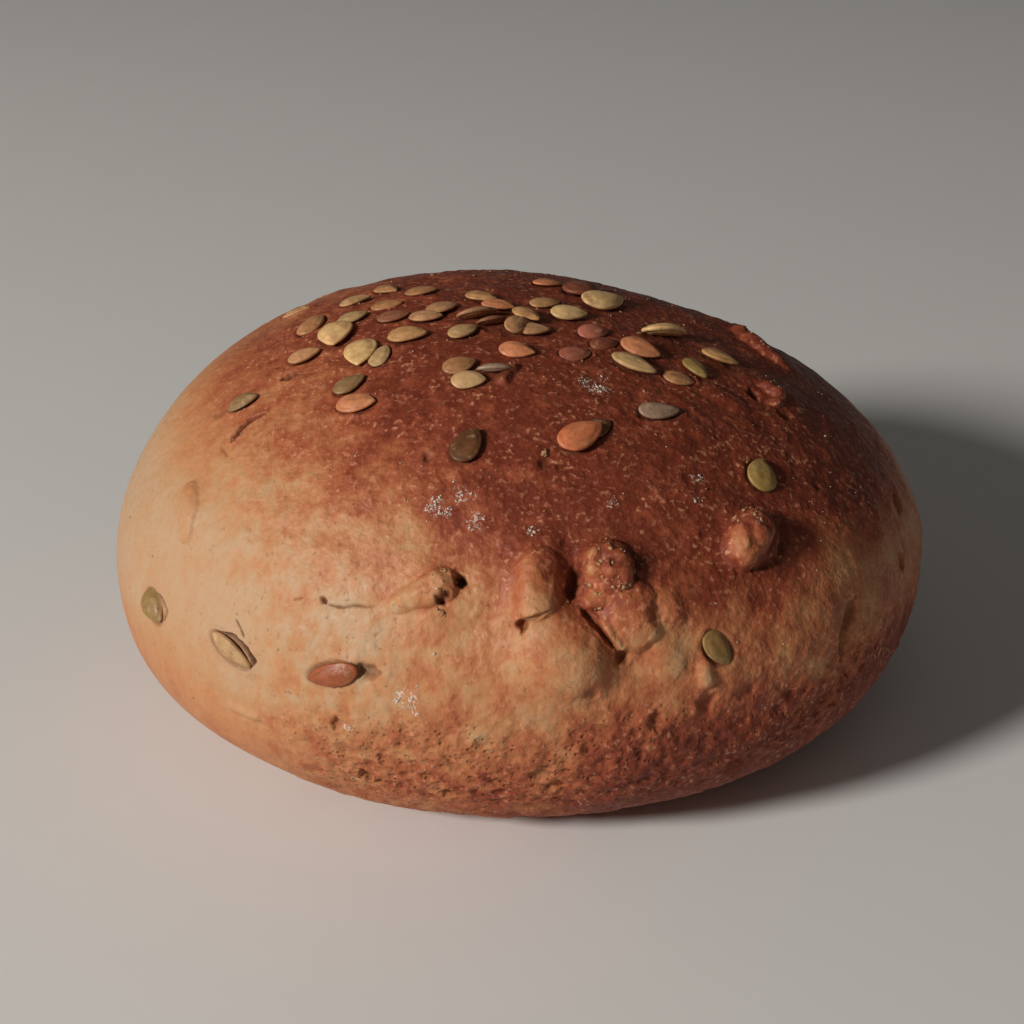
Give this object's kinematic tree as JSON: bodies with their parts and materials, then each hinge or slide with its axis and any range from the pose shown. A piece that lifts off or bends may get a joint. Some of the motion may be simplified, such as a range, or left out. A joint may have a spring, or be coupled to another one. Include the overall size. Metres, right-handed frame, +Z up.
{
  "type": "multigrain bread loaf",
  "caption": "Round multigrain bread loaf: domed golden-brown crust strewn with seeds, a fold and covered lumps at the front, and a flat underside to rest on.",
  "frame": {"origin": "middle of the loaf's footprint at the height of the surface it rests on", "axes": "+Z up through the crown, -Y towards the side with the fold, +X along the widest extent"},
  "size_m": [0.212, 0.1978, 0.1093],
  "materials": {
    "crust": "baked crust, satin brown crown paling to matt golden tan at the side"
  },
  "bodies": {
    "root": {"loaf": "crust"}
  },
  "joints": []
}
